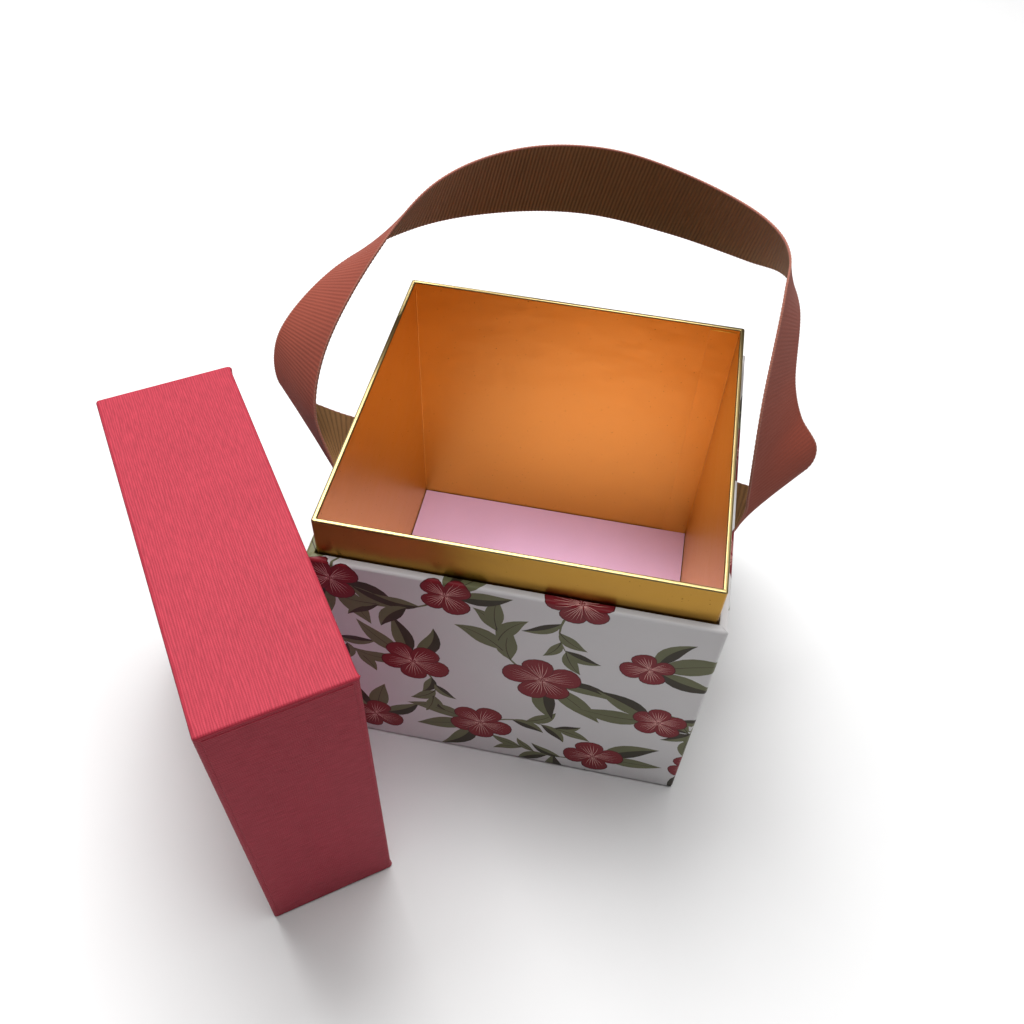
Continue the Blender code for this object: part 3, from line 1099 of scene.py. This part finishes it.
@dataclass
class Tray:
    """The printed tray: paper folded round the boards, with the ribbon's two slots in it."""

    width: float = 0.120
    depth: float = 0.116
    height: float = 0.098
    corner_radius: float = 0.9 * MM
    edge_radius: float = 1.0 * MM
    hem_radius: float = 0.35 * MM
    hem_inset: float = 2.6 * MM
    turn_in: float = 10.0 * MM
    turn_under: float = 12.0 * MM
    underside: float = 0.4 * MM
    paper: float = 0.28 * MM
    slot_height: float = 2.2 * MM
    slot_length: float = 27.0 * MM
    slot_z: float = 83.0 * MM
    ear_height: float = 0.55 * MM
    ear_past_edge: float = 0.2 * MM
    arc_steps: int = 6

    def fold(self) -> FoldedSheet:
        """How the paper runs: v is the height while it climbs the wall.

        Returns:
            The folded sheet.
        """
        corners = (
            (self.turn_under, self.underside),
            (0.0, self.underside),
            (0.0, self.height),
            (self.hem_inset, self.height),
            (self.hem_inset, self.height - self.turn_in),
        )
        radii = (self.edge_radius, self.edge_radius, self.hem_radius)
        section = rounded_path(corners, radii, self.arc_steps)
        below = self.turn_under - self.edge_radius + math.pi / 2 * self.edge_radius
        start = self.underside + self.edge_radius - below
        ears = Ears(self.height + self.ear_past_edge, self.ear_height)
        return FoldedSheet(self.width / 2, self.depth / 2, self.corner_radius, section, start, ears)

    def build(self) -> bpy.types.Object:
        """Cuts the printed sheet along every colour and fold, folds it and thickens it.

        Returns:
            The printed wrap.
        """
        fold = self.fold()
        inks, corners, triangles = self._cut_sheet(fold)
        mesh = bpy.data.meshes.new("tray_printed_paper")
        places = [fold.place(x * MM, z * MM) for x, z in corners]
        mesh.from_pydata(places, [], triangles)
        mesh.polygons.foreach_set("material_index", inks)
        layer = mesh.uv_layers.new(name="sheet")
        for loop in mesh.loops:
            layer.data[loop.index].uv = corners[loop.vertex_index]
        shape = bmesh.new()
        shape.from_mesh(mesh)
        outside = [vertex for vertex in shape.verts if not vertex.link_faces]
        bmesh.ops.delete(shape, geom=outside, context="VERTS")
        bmesh.ops.remove_doubles(shape, verts=shape.verts, dist=2e-6)
        shape.to_mesh(mesh)
        shape.free()
        wrap = new_object("tray_printed_paper", mesh, PRINT_SLOTS)
        thicken(wrap, self.paper, len(PRINT_SLOTS))
        soften_normals(wrap)
        return wrap

    def _cut_sheet(self, fold: FoldedSheet) -> tuple[list[int], list[Point], list[list[int]]]:
        """Triangulates the flat sheet.

        Args:
            fold: The folded sheet that it becomes.

        Returns:
            Each triangle's ink, the flat points in millimetres, and the triangles.
        """
        half = fold.girth / 2 / MM
        low = fold.v_marks[0] / MM
        high = fold.v_marks[-1] / MM
        patches: list[Patch] = [(Ink.PAPER, rectangle((-half, low), (half, high)))]
        patches += FloralPrint().patches(half / 2)
        patches += [(Ink.HOLE, self._slot(side * half / 2)) for side in (-1, 1)]
        points: list[Vector] = []
        faces: list[list[int]] = []
        for _, outline in patches:
            faces.append(list(range(len(points), len(points) + len(outline))))
            points += outline
        folds = [((-half, v / MM), (half, v / MM)) for v in fold.v_marks[1:-1]]
        folds += [((u / MM, low), (u / MM, high)) for u in fold.u_marks(self.arc_steps)]
        creases = []
        for ends in folds:
            creases.append((len(points), len(points) + 1))
            points += [Vector(end) for end in ends]
        corners, _, triangles, _, _, owners = delaunay_2d_cdt(points, creases, faces, 1, 1e-4)
        inks = []
        kept = []
        for triangle, owner in zip(triangles, owners):
            if 0 not in owner or patches[max(owner)][0] is Ink.HOLE:
                continue
            inks.append(int(patches[max(owner)][0]))
            kept.append(list(triangle))
        return inks, [tuple(corner) for corner in corners], kept

    def _slot(self, middle: float) -> list[Vector]:
        """Outlines a slot on the flat sheet.

        Args:
            middle: Where it is round the tray, in millimetres.

        Returns:
            Its corners, in millimetres.
        """
        reach = self.slot_length / 2 / MM
        low = (self.slot_z - self.slot_height / 2) / MM
        high = (self.slot_z + self.slot_height / 2) / MM
        return rectangle((middle - reach, low), (middle + reach, high))

    def dress(self) -> None:
        """Builds the wrap and puts it in the frame's place."""
        wrap = self.build()
        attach(wrap, "base")
        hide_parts("printed_wrap")
        log.info("%s: %d faces", wrap.name, len(wrap.data.polygons))


@dataclass
class Neck:
    """The gold collar that the lid slides over, with its rounded rim and its glued lap."""

    width: float = 0.120
    depth: float = 0.116
    top: float = 0.112
    bottom: float = 2.4 * MM
    band: float = 30.0 * MM
    inset: float = 3.0 * MM
    inside_inset: float = 4.5 * MM
    foil: float = 0.2 * MM
    rim_radius: float = 0.55 * MM
    corner_radius: float = 0.8 * MM
    lap_width: float = 9.0 * MM
    lap_gap: float = 0.7 * MM
    lap_above_bottom: float = 1.6 * MM
    lap_below_top: float = 1.4 * MM
    lap_bevel: float = 0.07 * MM
    arc_steps: int = 6

    def build(self) -> bpy.types.Object:
        """Folds the foil up the outside, over the rim and down the inside.

        Returns:
            The foil.
        """
        corners = (
            (0.0, self.top - self.band),
            (0.0, self.top),
            (self.inside_inset - self.inset, self.top),
            (self.inside_inset - self.inset, self.bottom),
        )
        section = rounded_path(corners, (self.rim_radius, self.rim_radius), self.arc_steps)
        half_width = self.width / 2 - self.inset
        half_depth = self.depth / 2 - self.inset
        fold = FoldedSheet(half_width, half_depth, self.corner_radius, section)
        mesh = mesh_of(fold.grid(self.arc_steps), "neck_gold_foil_card")
        for face in mesh.polygons:
            # One gold foil in three copies, chosen by the way each face points: darker with painted shade
            # outside, plain inside, and paler with a painted highlight on the up-facing rim.
            inward = face.normal.dot(face.center) < 0.0
            takes_rim_highlight = face.normal.z > 0.2
            face.material_index = 2 if takes_rim_highlight else int(inward)
        foil = new_object("neck_gold_foil_card", mesh, (FOIL_OUTSIDE_SHADED, FOIL_INSIDE, FOIL_RIM_HIGHLIGHT))
        thicken(foil, self.foil)
        soften_normals(foil)
        return foil

    def build_lap(self) -> bpy.types.Object:
        """The lap where the foil's two ends meet, next to the back right corner inside.

        Returns:
            The lap.
        """
        right = self.width / 2 - self.inside_inset - self.lap_gap
        wall = self.depth / 2 - self.inside_inset
        low = (right - self.lap_width, wall - self.foil, self.bottom + self.lap_above_bottom)
        high = (right, wall, self.top - self.lap_below_top)
        shape = bmesh.new()
        layer = shape.loops.layers.uv.new("sheet")
        add_slab(shape, low, high, self.lap_bevel)
        for face in shape.faces:
            for loop in face.loops:
                loop[layer].uv = (loop.vert.co.x / MM, loop.vert.co.z / MM)
        lap = new_object("neck_foil_lap", mesh_of(shape, "neck_foil_lap"), (FOIL_INSIDE,))
        soften_normals(lap)
        return lap

    def dress(self) -> None:
        """Builds the foil and its lap and puts them in the frame's place."""
        foil = self.build()
        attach(foil, "base")
        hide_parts("neck_gold_foil")
        lap = self.build_lap()
        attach(lap, "base")
        log.info("%s: %d faces, %s", foil.name, len(foil.data.polygons), lap.name)


# The ribbon's inner and outer edge in millimetres at each station, from the left slot to the right
RIBBON_EDGES = (
    ((-60.5, -12.5, 83.0), (-60.5, 12.5, 83.0)),
    ((-63.0, -12.5, 83.0), (-74.0, 12.5, 85.5)),
    ((-66.0, -12.5, 84.5), (-89.0, 12.0, 92.0)),
    ((-68.0, -11.0, 89.0), (-92.0, 12.0, 96.0)),
    ((-73.0, -5.5, 101.0), (-94.0, 16.0, 103.0)),
    ((-72.0, 6.0, 117.0), (-92.0, 21.5, 111.5)),
    ((-60.5, 28.5, 139.5), (-78.0, 39.0, 124.5)),
    ((-46.0, 49.5, 154.0), (-55.5, 57.0, 131.5)),
    ((-24.0, 68.0, 158.0), (-29.5, 70.0, 133.0)),
    ((3.5, 78.5, 156.0), (-2.0, 79.0, 131.0)),
    ((32.5, 75.5, 151.5), (27.0, 79.5, 127.5)),
    ((56.0, 58.5, 150.5), (54.0, 69.5, 128.0)),
    ((62.5, 45.0, 149.5), (65.5, 61.0, 130.5)),
    ((62.5, 31.5, 145.0), (70.5, 49.0, 128.5)),
    ((61.5, 6.5, 123.5), (73.0, 27.5, 114.5)),
    ((62.5, -3.0, 107.0), (77.0, 22.5, 106.5)),
    ((63.5, -5.5, 96.0), (84.0, 19.0, 98.0)),
    ((64.0, -6.5, 90.0), (83.0, 15.5, 92.5)),
    ((62.5, -9.5, 85.5), (70.0, 11.0, 84.0)),
    ((60.5, -12.5, 83.0), (60.5, 12.5, 83.0)),
)


def smooth_between(before: Vector, start: Vector, end: Vector, after: Vector, share: float) -> Vector:
    """A point of the smooth curve that passes through start and end, by centripetal spacing.

    Args:
        before: The station before start.
        start: Where this stretch begins.
        end: Where it ends.
        after: The station after end.
        share: How far along the stretch.

    Returns:
        The point.
    """
    knots = [0.0]
    for near, far in ((before, start), (start, end), (end, after)):
        knots.append(knots[-1] + math.sqrt((far - near).length))
    t = knots[1] + (knots[2] - knots[1]) * share
    first = before.lerp(start, (t - knots[0]) / (knots[1] - knots[0]))
    second = start.lerp(end, (t - knots[1]) / (knots[2] - knots[1]))
    third = end.lerp(after, (t - knots[2]) / (knots[3] - knots[2]))
    left = first.lerp(second, (t - knots[0]) / (knots[2] - knots[0]))
    right = second.lerp(third, (t - knots[1]) / (knots[3] - knots[1]))
    return left.lerp(right, (t - knots[1]) / (knots[2] - knots[1]))


@dataclass
class Ribbon:
    """The handle: one length of grosgrain from slot to slot, ribbed, with corded selvedges."""

    width: float = 25.0 * MM
    length: float = 337.0 * MM
    half_thickness: float = 0.34 * MM
    selvedge: float = 0.52 * MM
    rib_pitch: float = 1.2 * MM
    rib_height: float = 0.13 * MM
    outside_rib_share: float = 0.16
    rib_share_at_selvedge: float = 0.25
    rib_fade: float = 8.0
    cord_wave: float = 0.16
    steps_per_rib: int = 6
    columns: int = 10
    into_slot: float = 1.0 * MM
    samples: int = 24

    def edge_curve(self, side: int) -> list[Vector]:
        """One edge of the ribbon as close points along its smooth curve.

        Args:
            side: 0 for the inner edge and 1 for the outer.

        Returns:
            The points.
        """
        stations = [Vector(pair[side]) * MM for pair in RIBBON_EDGES]
        padded = [2 * stations[0] - stations[1], *stations, 2 * stations[-1] - stations[-2]]
        curve = [
            smooth_between(*group, step / self.samples)
            for group in zip(padded, padded[1:], padded[2:], padded[3:])
            for step in range(self.samples)
        ]
        curve.append(stations[-1])
        inwards = Vector((self.into_slot, 0.0, 0.0))
        return [curve[0] + inwards, *curve, curve[-1] - inwards]

    def rows(self) -> list[tuple[Vector, Vector, float]]:
        """The ribbon's two edges at even steps along its middle.

        Returns:
            The inner point, the outer point and the distance along, for each row.
        """
        pairs = list(zip(self.edge_curve(0), self.edge_curve(1)))
        marks = [0.0]
        for near, far in zip(pairs, pairs[1:]):
            marks.append(marks[-1] + ((far[0] + far[1] - near[0] - near[1]) / 2).length)
        step = self.rib_pitch / self.steps_per_rib
        count = int(marks[-1] / step)
        found = []
        span = 0
        for number in range(count + 1):
            along = marks[-1] * number / count
            while span < len(marks) - 2 and marks[span + 1] < along:
                span += 1
            share = (along - marks[span]) / (marks[span + 1] - marks[span])
            near, far = pairs[span], pairs[span + 1]
            found.append((near[0].lerp(far[0], share), near[1].lerp(far[1], share), along))
        return found

    def section(self, along: float) -> list[tuple[float, float, int]]:
        """The ribbon's cross-section at one distance along.

        Args:
            along: The distance along the ribbon.

        Returns:
            For each point round the section: its place across, from -1 to 1, how far it stands out of
            the outside face, and the finish of the face that follows it.
        """
        wave = math.cos(2 * math.pi * along / self.rib_pitch)
        body = 1 - self.selvedge / (self.width / 2)
        outline = []
        for direction, finish, rib in ((1, 0, self.outside_rib_share), (-1, 1, 1.0)):
            for column in range(self.columns + 1):
                across = direction * body * (2 * column / self.columns - 1)
                fade = (body - abs(across)) * self.rib_fade + self.rib_share_at_selvedge
                height = self.half_thickness + rib * min(1.0, fade) * self.rib_height * wave
                following = finish if column < self.columns else 2
                outline.append((across, direction * height, following))
            for step in range(1, 4):
                angle = math.pi * step / 4
                across = direction * (body + (1 - body) * math.sin(angle))
                cord = self.selvedge * (1 + self.cord_wave * wave)
                outline.append((across, direction * cord * math.cos(angle), 2))
        return outline

    def build(self) -> bpy.types.Object:
        """Lofts the cross-section along the rows.

        Returns:
            The ribbon.
        """
        rows = self.rows()
        shape = bmesh.new()
        layer = shape.loops.layers.uv.new("sheet")
        rings = []
        for number, (inner, outer, along) in enumerate(rows):
            near = rows[max(number - 1, 0)]
            far = rows[min(number + 1, len(rows) - 1)]
            tangent = far[0] + far[1] - near[0] - near[1]
            across = (outer - inner) / 2
            normal = tangent.cross(across).normalized()
            middle = (inner + outer) / 2
            ring = [
                (shape.verts.new(middle + across * place + normal * out), place, finish)
                for place, out, finish in self.section(along)
            ]
            rings.append((ring, along))
        for (near, start), (far, end) in zip(rings, rings[1:]):
            for i, (vertex, place, finish) in enumerate(near):
                j = (i + 1) % len(near)
                beyond = near[j][1]
                face = shape.faces.new((vertex, far[i][0], far[j][0], near[j][0]))
                face.material_index = finish
                face.smooth = True
                flat = ((place, start), (place, end), (beyond, end), (beyond, start))
                for loop, (across_at, along_at) in zip(face.loops, flat):
                    loop[layer].uv = (across_at * self.width / 2 / MM, along_at / MM)
        for ring, _ in (rings[0], rings[-1]):
            shape.faces.new([vertex for vertex, _, _ in ring]).material_index = 2
        bmesh.ops.recalc_face_normals(shape, faces=shape.faces)
        finishes = (RIBBON_OUTSIDE, RIBBON_INSIDE, RIBBON_SELVEDGE)
        return new_object("grosgrain_ribbon", mesh_of(shape, "grosgrain_ribbon"), finishes)

    def dress(self) -> None:
        """Builds the ribbon, hides the CAD handle and bakes the ribbon's place into its mesh."""
        ribbon = self.build()
        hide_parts("ribbon_handle")
        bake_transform(ribbon)
        log.info("%s: %d faces", ribbon.name, len(ribbon.data.polygons))


@dataclass
class Lid:
    """The linen-paper lid, built level with its open side down, then stood on its side by the tray."""

    width: float = 0.121
    depth: float = 0.117
    height: float = 0.039
    corner: Point3 = (-0.059, -0.127, 0.0)
    turn: float = math.radians(36.0)
    corner_radius: float = 0.9 * MM
    edge_radius: float = 0.95 * MM
    hem_radius: float = 0.3 * MM
    hem_inset: float = 2.6 * MM
    turn_in: float = 10.0 * MM
    panel_lap: float = 6.0 * MM
    ear_height: float = -0.45 * MM
    ear_before_edge: float = 0.8 * MM
    paper: float = 0.28 * MM
    overlap_back: float = 1.7 * MM
    overlap_proud: float = 0.16 * MM
    overlap_bevel: float = 0.1 * MM
    arc_steps: int = 6

    def stand(self) -> Matrix:
        """Where the lid stands: its left side down and its opening towards the tray.

        Returns:
            The matrix from the level lid to the frame.
        """
        along = Vector((-math.sin(self.turn), math.cos(self.turn), 0.0))
        inward = Vector((math.cos(self.turn), math.sin(self.turn), 0.0))
        upward = Vector((0.0, 0.0, 1.0))
        rim_middle = along * self.depth / 2 + inward * self.height + upward * self.width / 2
        turn = Matrix((upward, along, -inward)).transposed().to_4x4()
        return Matrix.Translation(Vector(self.corner) + rim_middle) @ turn

    def build(self) -> bpy.types.Object:
        """Folds the linen paper over the top panel, down the sides and in under the rim.

        Returns:
            The linen wrap.
        """
        corners = (
            (self.hem_inset, self.turn_in),
            (self.hem_inset, 0.0),
            (0.0, 0.0),
            (0.0, self.height),
            (self.panel_lap, self.height),
        )
        radii = (self.hem_radius, self.edge_radius, self.edge_radius)
        section = rounded_path(corners, radii, self.arc_steps)
        ears = Ears(self.turn_in + self.hem_inset - self.ear_before_edge, self.ear_height)
        fold = FoldedSheet(self.width / 2, self.depth / 2, self.corner_radius, section, ears=ears)
        shape = fold.grid(self.arc_steps)
        open_edges = [edge for edge in shape.edges if edge.is_boundary]
        panel_edge = [edge for edge in open_edges if edge.verts[0].co.z > self.height / 2]
        bmesh.ops.holes_fill(shape, edges=panel_edge, sides=0)
        bmesh.ops.recalc_face_normals(shape, faces=shape.faces)
        self._add_overlaps(shape)
        lay_linen(shape)
        mesh = mesh_of(shape, "lid_linen_paper")
        mesh.transform(self.stand())
        wrap = new_object("lid_linen_paper", mesh, (LINEN_RED,))
        thicken(wrap, self.paper)
        soften_normals(wrap)
        return wrap

    def _add_overlaps(self, shape: bmesh.types.BMesh) -> None:
        """Lays the second flap of paper on the front and back sides, stopping short of their edges.

        Args:
            shape: The wrap's mesh, which the flaps join.
        """
        reach = self.width / 2 - self.overlap_back
        for wall in (-self.depth / 2, self.depth / 2):
            low = (-reach, wall - self.overlap_proud, self.overlap_back)
            high = (reach, wall + self.overlap_proud, self.height - self.overlap_back)
            add_slab(shape, low, high, self.overlap_bevel)

    def dress(self) -> None:
        """Builds the wrap and puts it in the frame's place."""
        wrap = self.build()
        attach(wrap, "lid")
        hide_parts("lid_linen_wrap")
        log.info("%s: %d faces", wrap.name, len(wrap.data.polygons))


def lay_linen(shape: bmesh.types.BMesh) -> None:
    """Lays the linen's ribs as on one cut sheet: along the lid's depth, and on over the folds.

    Args:
        shape: The level lid's mesh, which gets flat coordinates in millimetres.
    """
    layer = shape.loops.layers.uv.verify()
    for face in shape.faces:
        facing = [abs(value) for value in face.normal]
        across, along = ((2, 1), (0, 2), (0, 1))[facing.index(max(facing))]
        for loop in face.loops:
            point = loop.vert.co / MM
            loop[layer].uv = (point[across], point[along])


CARRIED_OVER = {
    GREYBOARD: [
        "base_bottom_board",
        "inner_floor_board",
        "lid_top_board",
        *(f"{wall}_{side}" for wall in ("base_wall", "neck_board", "lid_side") for side in SIDES),
    ],
    KRAFT_TAPE: [f"{half}_corner_stay_{number}" for half in ("base", "lid") for number in range(1, 5)],
    WHITE_PAPER: ["underside_sheet"],
    PINK_FLOOR_COUNTER_TINTED: ["inner_floor_paper"],
    PINK_LINING: ["lid_lining"],
    RIBBON_TAB: ["ribbon_tab_left", "ribbon_tab_right"],
}


def dress_carried_over() -> None:
    """Gives the pieces whose CAD shape is right their finishes."""
    for finish, names in CARRIED_OVER.items():
        material = finish.make()
        for name in names:
            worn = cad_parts[name].data.materials
            worn.clear()
            worn.append(material)
        log.info("%s on %d pieces", finish.name, len(names))


# Studio


@dataclass
class Camera:
    """The viewpoint: above the front, looking down and back."""

    location: Point3 = (0.02272, -0.21245, 0.32121)
    heading: float = 0.15187
    tilt: float = 0.69512
    roll: float = 0.05121
    lens: float = 34.51

    def build(self) -> None:
        """Makes the camera and hands it to the scene."""
        data = bpy.data.cameras.new("studio_camera")
        data.lens = self.lens
        data.clip_start = 0.01
        camera = bpy.data.objects.new("studio_camera", data)
        bpy.context.scene.collection.objects.link(camera)
        place = Matrix.Translation(self.location)
        for angle, axis in ((self.heading, "Z"), (self.tilt, "X"), (self.roll, "Z")):
            place = place @ Matrix.Rotation(angle, 4, axis)
        camera.matrix_world = place
        bpy.context.scene.camera = camera


@dataclass(frozen=True)
class SoftBox:
    """One soft area light."""

    name: str
    location: Point3
    size: float
    power: float
    aim: Point3 = (0.0, 0.0, 0.06)

    def build(self) -> None:
        """Hangs the light and points it."""
        data = bpy.data.lights.new(self.name, "AREA")
        data.shape = "SQUARE"
        data.size = self.size
        data.energy = self.power
        lamp = bpy.data.objects.new(self.name, data)
        bpy.context.scene.collection.objects.link(lamp)
        lamp.location = self.location
        direction = Vector(self.aim) - Vector(self.location)
        lamp.rotation_euler = direction.to_track_quat("-Z", "Y").to_euler()


@dataclass
class Studio:
    """A plain pale floor under soft light from above and behind."""

    floor_size: float = 6.0
    ambient: float = 0.08
    lights: tuple[SoftBox, ...] = (
        SoftBox("window_light", (-0.32, 0.48, 1.15), 0.8, 20.0),
        SoftBox("ceiling_light", (0.20, 0.05, 1.40), 0.9, 13.0),
    )

    def build(self) -> None:
        """Lays the floor, sets the room's light and hangs the lamps."""
        mesh = bpy.data.meshes.new("studio_floor")
        half = self.floor_size / 2
        corners = [(*corner, 0.0) for corner in rectangle((-half, -half), (half, half))]
        mesh.from_pydata(corners, [], [(0, 1, 2, 3)])
        floor = new_object("studio_floor", mesh, (STUDIO_FLOOR,))
        world = bpy.data.worlds.new("studio_room")
        world.use_nodes = True
        sky = world.node_tree.nodes["Background"]
        sky.inputs["Color"].default_value = (1.0, 1.0, 1.0, 1.0)
        sky.inputs["Strength"].default_value = self.ambient
        bpy.context.scene.world = world
        bpy.context.scene.view_settings.view_transform = "Standard"
        for light in self.lights:
            light.build()
        log.info("studio with %d lights", len(self.lights))


def main() -> None:
    """Builds the viewpoint, the box's sub-assemblies and the studio."""
    logging.basicConfig(level=logging.INFO, format="%(name)s: %(message)s")
    Camera().build()
    Tray().dress()
    Neck().dress()
    Ribbon().dress()
    Lid().dress()
    dress_carried_over()
    Studio().build()


if __name__ == "__main__":
    main()
